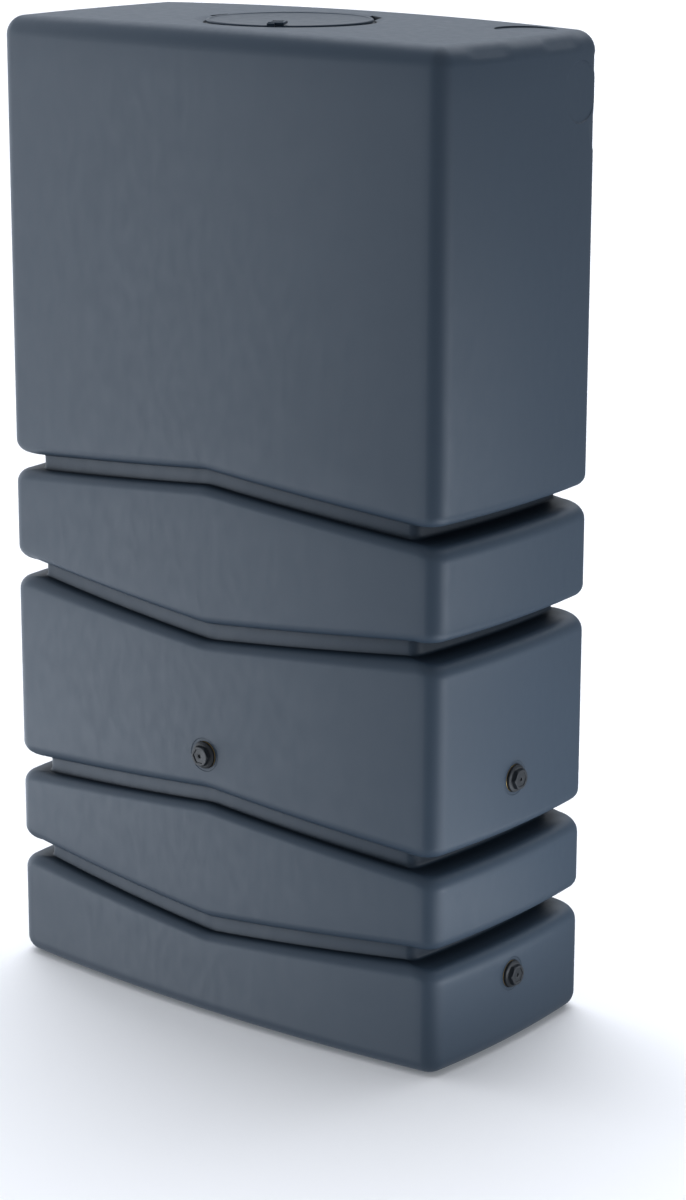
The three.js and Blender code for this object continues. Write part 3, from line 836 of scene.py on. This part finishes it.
def insert(port):
    skin = Skin()
    angles = np.linspace(0, 2 * np.pi, 96, endpoint=False)
    knurl = 0.35 * np.abs(np.sin(24 * angles))
    outer = [
        (13.2, -18), (15.7, -18), (16, -17.7), (16, -12.3), (16.4, -12), (19.6, -12), (20 - knurl, -11.6),
        (20 - knurl, -6.4), (19.7, -6), (19.3, -5.9), (19.3, -0.6), (19, -0.3), (13.9, -0.3),
    ]
    bore = [(13.5, -0.5)]
    bore += [(threaded(12.3, 1.05, h, angles), h) for h in np.arange(-1.2, -17.1, -THREAD_PITCH / 8)]
    bore += [(13.1, -17.6), (13.2, -18)]
    add_turned(skin, outer + bore, angles, port.circle)
    return skin.object(f"{port.name}_insert_brass")


def washer(port):
    half = PORT_GAP + WASHER_THICK
    corners = [(12.4, PORT_GAP), (19.4, PORT_GAP), (19.4, half), (12.4, half)]
    return closed_turned(corners, port.circle, 96, 0.5, False).object(f"{port.name}_washer_ring")


def plug(port):
    skin = Skin()
    angles = np.linspace(0, 2 * np.pi, 120, endpoint=False)
    under = 2 * PORT_GAP + WASHER_THICK
    flange, head = under + 3, under + 9.5
    hexagonal = hexagon(27, angles, 0.35)
    inner_hex = hexagon(19, angles, 0.3)
    rows = [(3, -12.4), (10.6, -12.4), (11.3, -11.9)]
    for h in np.arange(-11.4, under - 1.9, THREAD_PITCH / 8):
        fade = smooth_step(h, -11.4, -10.2) * (1 - smooth_step(h, under - 3.2, under - 2.0))
        rows.append((threaded(11.9, 1.0 * fade, h, angles), h))
    rows += [(11.7, under - 1.7), (11.7, under - 0.4), (12.1, under), (18.5, under), (18.85, under + 0.15)]
    rows += [(19, under + 0.5), (19, under + 1.0), (18.8, under + 1.35), (18.4, under + 1.6)]
    rows += [(16.4, flange - 0.15), (15.9, flange), (np.minimum(hexagonal + 0.5, 15.75), flange)]
    rows += [(hexagonal + 0.12, flange + 0.12), (hexagonal, flange + 0.5)]
    for drop in (1.75, 1.3, 0.9, 0.5, 0.25):
        rows.append((np.minimum(hexagonal, 13.7 + (drop - 0.25) * 1.5), head - drop))
    rows += [(np.minimum(hexagonal, 13.5), head - 0.08), (13.2, head), (inner_hex + 0.6, head)]
    rows += [(inner_hex + 0.2, head - 0.12), (inner_hex, head - 0.9), (inner_hex - 0.3, head - 1.15)]
    rows += [(inner_hex - 0.9, head - 1.2), (6.5, head - 1.2), (3.1, head - 1.2), (2.6, head - 1.35)]
    rows += [(2.4, head - 1.8), (2.2, head - 3.2), (1.4, head - 3.5)]
    made = add_turned(skin, rows, angles, port.circle)
    skin.fan(made[0], port.seat + port.w * -12.4, True)
    skin.fan(made[-1], port.seat + port.w * (head - 3.5))
    return skin.object(f"{port.name}_plug_hex", 28.0)


# ---- Materials ----


def material(
    name, base, roughness, variation, grain=(900, 0.05), peel=(160, 0.02), wear_and_edge_highlight=0.0, painted_recess_shade=0.0, metallic=0.0,
    specular=0.5,
):
    """A moulded or turned surface with uneven colour and gloss, edges lightened as wear and as a painted
    highlight, and painted shade in its recesses.

    grain and peel are each the scale and the strength of a bump.
    """
    made = bpy.data.materials.new(name)
    made.use_nodes = True
    nodes, links = made.node_tree.nodes, made.node_tree.links
    principled = nodes["Principled BSDF"]
    principled.inputs["Metallic"].default_value = metallic
    principled.inputs["Specular IOR Level"].default_value = specular
    place = nodes.new("ShaderNodeTexCoord").outputs["Object"]

    def noise(scale, detail=3.0, stretch=None, rough=0.55):
        texture = nodes.new("ShaderNodeTexNoise")
        texture.inputs["Scale"].default_value = scale
        texture.inputs["Detail"].default_value = detail
        texture.inputs["Roughness"].default_value = rough
        source = place
        if stretch:
            mapping = nodes.new("ShaderNodeMapping")
            mapping.inputs["Scale"].default_value = stretch
            links.new(place, mapping.inputs["Vector"])
            source = mapping.outputs["Vector"]
        links.new(source, texture.inputs["Vector"])
        return texture.outputs["Fac"]

    def spread(value, low, high, out_low, out_high):
        node = nodes.new("ShaderNodeMapRange")
        for key, number in zip(("From Min", "From Max", "To Min", "To Max"), (low, high, out_low, out_high)):
            node.inputs[key].default_value = number
        links.new(value, node.inputs["Value"])
        return node.outputs["Result"]

    def calculated(operation, a, b):
        node = nodes.new("ShaderNodeMath")
        node.operation = operation
        for socket, value in zip(node.inputs, (a, b)):
            if isinstance(value, (int, float)):
                socket.default_value = value
            else:
                links.new(value, socket)
        return node.outputs["Value"]

    def mixed(share, first, second):
        node = nodes.new("ShaderNodeMix")
        node.data_type = "RGBA"
        links.new(share, node.inputs["Factor"])
        for socket, value in ((node.inputs[6], first), (node.inputs[7], second)):
            if isinstance(value, tuple):
                socket.default_value = (*value, 1.0)
            else:
                links.new(value, socket)
        return node.outputs[2]

    dark = tuple(c * (1 - variation) for c in base)
    light = tuple(c * (1 + variation) for c in base)
    broad = calculated("MULTIPLY", noise(5.0, 4.0), 0.7)
    cloud = calculated("ADD", broad, calculated("MULTIPLY", noise(60.0, 2.0), 0.3))
    colour = mixed(spread(cloud, 0.3, 0.7, 0.0, 1.0), dark, light)
    speck = spread(noise(grain[0] * 0.6, 2.0), 0.62, 0.78, 0.0, 0.22)
    colour = mixed(speck, colour, tuple(min(1.0, c * 1.5 + 0.01) for c in base))
    gloss = spread(noise(70.0, 4.0, (1.0, 1.0, 0.5)), 0.3, 0.7, roughness - 0.03, roughness + 0.03)
    # Lighter, rougher convex edges: wear, and on the lid a painted highlight along its rim.
    if wear_and_edge_highlight:
        edge = spread(nodes.new("ShaderNodeNewGeometry").outputs["Pointiness"], 0.52, 0.62, 0.0, 1.0)
        scuffs_and_highlight = calculated("MULTIPLY", edge, spread(noise(180.0, 5.0), 0.42, 0.62, 0.0, wear_and_edge_highlight))
        colour = mixed(scuffs_and_highlight, colour, tuple(min(1.0, c * 1.9 + 0.03) for c in base))
        gloss = calculated("ADD", gloss, calculated("MULTIPLY", scuffs_and_highlight, 0.25))
    # Painted shade: ambient occlusion darkens the colour and lowers the reflection in grooves and hollows.
    if painted_recess_shade:
        shade_occlusion = nodes.new("ShaderNodeAmbientOcclusion")
        shade_occlusion.inputs["Distance"].default_value = 0.03
        painted_shade = spread(shade_occlusion.outputs["AO"], 0.5, 0.9, painted_recess_shade, 0.0)
        colour = mixed(painted_shade, colour, tuple(c * 0.25 for c in base))
        links.new(spread(painted_shade, 0.0, 1.0, specular, 0.1), principled.inputs["Specular IOR Level"])
    links.new(colour, principled.inputs["Base Color"])
    links.new(gloss, principled.inputs["Roughness"])

    coarse = nodes.new("ShaderNodeBump")
    coarse.inputs["Strength"].default_value = peel[1]
    coarse.inputs["Distance"].default_value = 0.001
    links.new(noise(peel[0], 2.0), coarse.inputs["Height"])
    fine = nodes.new("ShaderNodeBump")
    fine.inputs["Strength"].default_value = grain[1]
    fine.inputs["Distance"].default_value = 0.0004
    links.new(noise(grain[0], 3.0, rough=0.7), fine.inputs["Height"])
    links.new(coarse.outputs["Normal"], fine.inputs["Normal"])
    links.new(fine.outputs["Normal"], principled.inputs["Normal"])
    return made


# The tank's grooves and hollows are darkened with painted shade.
TANK_PLASTIC = material("tank_polyethylene", (0.043, 0.0665, 0.0965), 0.46, 0.03, wear_and_edge_highlight=0.4, painted_recess_shade=0.9)
# The lid's strong edge lightening paints a highlight on its rim, besides wear.
LID_PLASTIC = material("lid_plastic", (0.037, 0.057, 0.083), 0.34, 0.03, wear_and_edge_highlight=0.9, specular=0.15)
PLUG_PLASTIC = material(
    "plug_nylon", (0.017, 0.020, 0.024), 0.42, 0.1, grain=(2200, 0.1), peel=(500, 0.04), wear_and_edge_highlight=0.6
)
RUBBER = material("seal_rubber", (0.012, 0.012, 0.013), 0.75, 0.15, grain=(3000, 0.2), peel=(400, 0.1))
BRASS = material(
    "insert_brass", (0.55, 0.38, 0.14), 0.3, 0.12, grain=(2600, 0.12), peel=(300, 0.05), wear_and_edge_highlight=0.4,
    metallic=1.0,
)


def placed(piece, body, node, finish):
    """Gives a piece its finish, lets it ride on its body, and hides the CAD node it stands for."""
    piece.data.materials.clear()
    piece.data.materials.append(finish)
    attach(piece, body)
    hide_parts(node)
    return piece


placed(tank(), "tank", "tank_body", TANK_PLASTIC)
placed(lid(), "lid", "lid", LID_PLASTIC)
placed(lock_slide(), "lid_lock", "lid_lock_slide", LID_PLASTIC)
placed(seal(), "lid_seal", "lid_seal", RUBBER)
for port in PORTS:
    placed(insert(port), "tank", f"{port.name}_threaded_insert", BRASS)
    placed(washer(port), f"{port.name}_washer", f"{port.name}_plug_washer", RUBBER)
    placed(plug(port), f"{port.name}_plug", f"{port.name}_hex_plug", PLUG_PLASTIC)


# ---- Floor, light and camera ----


DAYLIGHT = (0.92, 0.985, 1.08)


def floor():
    mesh = bpy.data.meshes.new("floor")
    mesh.from_pydata([(-60, -60, 0), (60, -60, 0), (60, 60, 0), (-60, 60, 0)], [], [(0, 1, 2, 3)])
    made = bpy.data.objects.new("floor", mesh)
    bpy.context.scene.collection.objects.link(made)
    finish = bpy.data.materials.new("pale_floor")
    finish.use_nodes = True
    shader = finish.node_tree.nodes["Principled BSDF"]
    shader.inputs["Base Color"].default_value = (0.90, 0.87, 0.855, 1)
    shader.inputs["Emission Color"].default_value = (0.97, 1, 1, 1)
    shader.inputs["Emission Strength"].default_value = 0.08
    shader.inputs["Roughness"].default_value = 0.9
    shader.inputs["Specular IOR Level"].default_value = 0.0
    mesh.materials.append(finish)
    made.visible_diffuse = False
    made.visible_glossy = False
    made.visible_shadow = False
    return made


def softbox(name, at, towards, size, power):
    light = bpy.data.lights.new(name, "AREA")
    light.shape = "RECTANGLE"
    light.size, light.size_y = size
    light.energy = power
    light.color = DAYLIGHT
    made = bpy.data.objects.new(name, light)
    made.location = at
    made.rotation_euler = (Vector(towards) - Vector(at)).to_track_quat("-Z", "Y").to_euler()
    made.visible_camera = False
    bpy.context.scene.collection.objects.link(made)


def sunlight(name, direction, strength, only=None):
    """Very soft light from far away, on everything or on one object alone."""
    light = bpy.data.lights.new(name, "SUN")
    light.energy = strength
    light.angle = math.radians(70)
    light.color = DAYLIGHT
    made = bpy.data.objects.new(name, light)
    made.rotation_euler = Vector(direction).to_track_quat("-Z", "Y").to_euler()
    bpy.context.scene.collection.objects.link(made)
    if only:
        lit = bpy.data.collections.new(name)
        lit.objects.link(only)
        made.light_linking.receiver_collection = lit


def world(level, patches):
    """A studio's surroundings: one even level, and soft patches, each (direction, sharpness, strength)."""
    made = bpy.data.worlds.new("studio")
    made.use_nodes = True
    nodes, links = made.node_tree.nodes, made.node_tree.links
    around = nodes.new("ShaderNodeTexCoord").outputs["Generated"]
    total = nodes.new("ShaderNodeValue").outputs["Value"]
    total.default_value = level
    for direction, sharpness, strength in patches:
        facing = nodes.new("ShaderNodeVectorMath")
        facing.operation = "DOT_PRODUCT"
        facing.inputs[1].default_value = Vector(direction).normalized()
        links.new(around, facing.inputs[0])
        value = facing.outputs["Value"]
        for operation, number in (("MAXIMUM", 0.0), ("POWER", sharpness), ("MULTIPLY", strength)):
            node = nodes.new("ShaderNodeMath")
            node.operation = operation
            node.inputs[1].default_value = number
            links.new(value, node.inputs[0])
            value = node.outputs["Value"]
        added = nodes.new("ShaderNodeMath")
        links.new(total, added.inputs[0])
        links.new(value, added.inputs[1])
        total = added.outputs["Value"]
    background = nodes["Background"]
    background.inputs["Color"].default_value = (*DAYLIGHT, 1)
    links.new(total, background.inputs["Strength"])
    bpy.context.scene.world = made


FLOOR = floor()
world(0.295, [
    ((-0.66, -0.7, -0.27), 40.0, 4.9),
    ((-0.6, 0.78, 0.15), 30.0, 0.24),
    ((-1, 0, 0.05), 5.0, 1.5),
])
sunlight("back_light", (0.25, -0.6, -1.0), 1.28)
softbox("right_back", (2.2, 1.2, 0.35), (0.3, 0, 0.5), (1.2, 0.7), 4.5)
softbox("low_right", (2.6, 0.3, 0.17), (0.3, 0, 0.12), (2.0, 0.32), 16)
# Cards that lie on the floor round the tank and shine upwards, as a bright floor does.
for name, x, y, size, power in (
    ("floor_front", -0.3, -0.75, (1.4, 0.7), 0.9),
    ("floor_right", 0.95, 0.0, (0.6, 1.0), 4.1),
    ("floor_left", -1.3, -0.2, (0.9, 1.6), 5.1),
):
    softbox(name, (x, y, 0.02), (x, y, 1), size, power)
# Light on the floor alone keeps it nearly white but for the tank's soft shadow.
sunlight("floor_back_light", (0.5, -0.5, -1.0), 1.5, only=FLOOR)
sunlight("floor_left_light", (0.7, -0.1, -1.0), 0.75, only=FLOOR)

# The camera stands front right of the tank and above it.
TARGET = Vector((0.08925, 0.0, 0.59397))
CAMERA_AT = Vector((2.8031, -3.3897, 1.7656))
ROLL = 0.00255
camera_data = bpy.data.cameras.new("camera")
camera_data.lens = 94.90
camera_data.sensor_width = 36.0
camera_data.sensor_fit = "AUTO"
camera_data.clip_end = 200
camera = bpy.data.objects.new("camera", camera_data)
camera.location = CAMERA_AT
view = (TARGET - CAMERA_AT).to_track_quat("-Z", "Y").to_matrix().to_4x4()
camera.rotation_euler = view.to_euler()
camera.rotation_euler.rotate_axis("Z", ROLL)
bpy.context.scene.collection.objects.link(camera)
bpy.context.scene.camera = camera
bpy.context.scene.view_settings.view_transform = "Standard"
bpy.context.scene.cycles.use_denoising = True
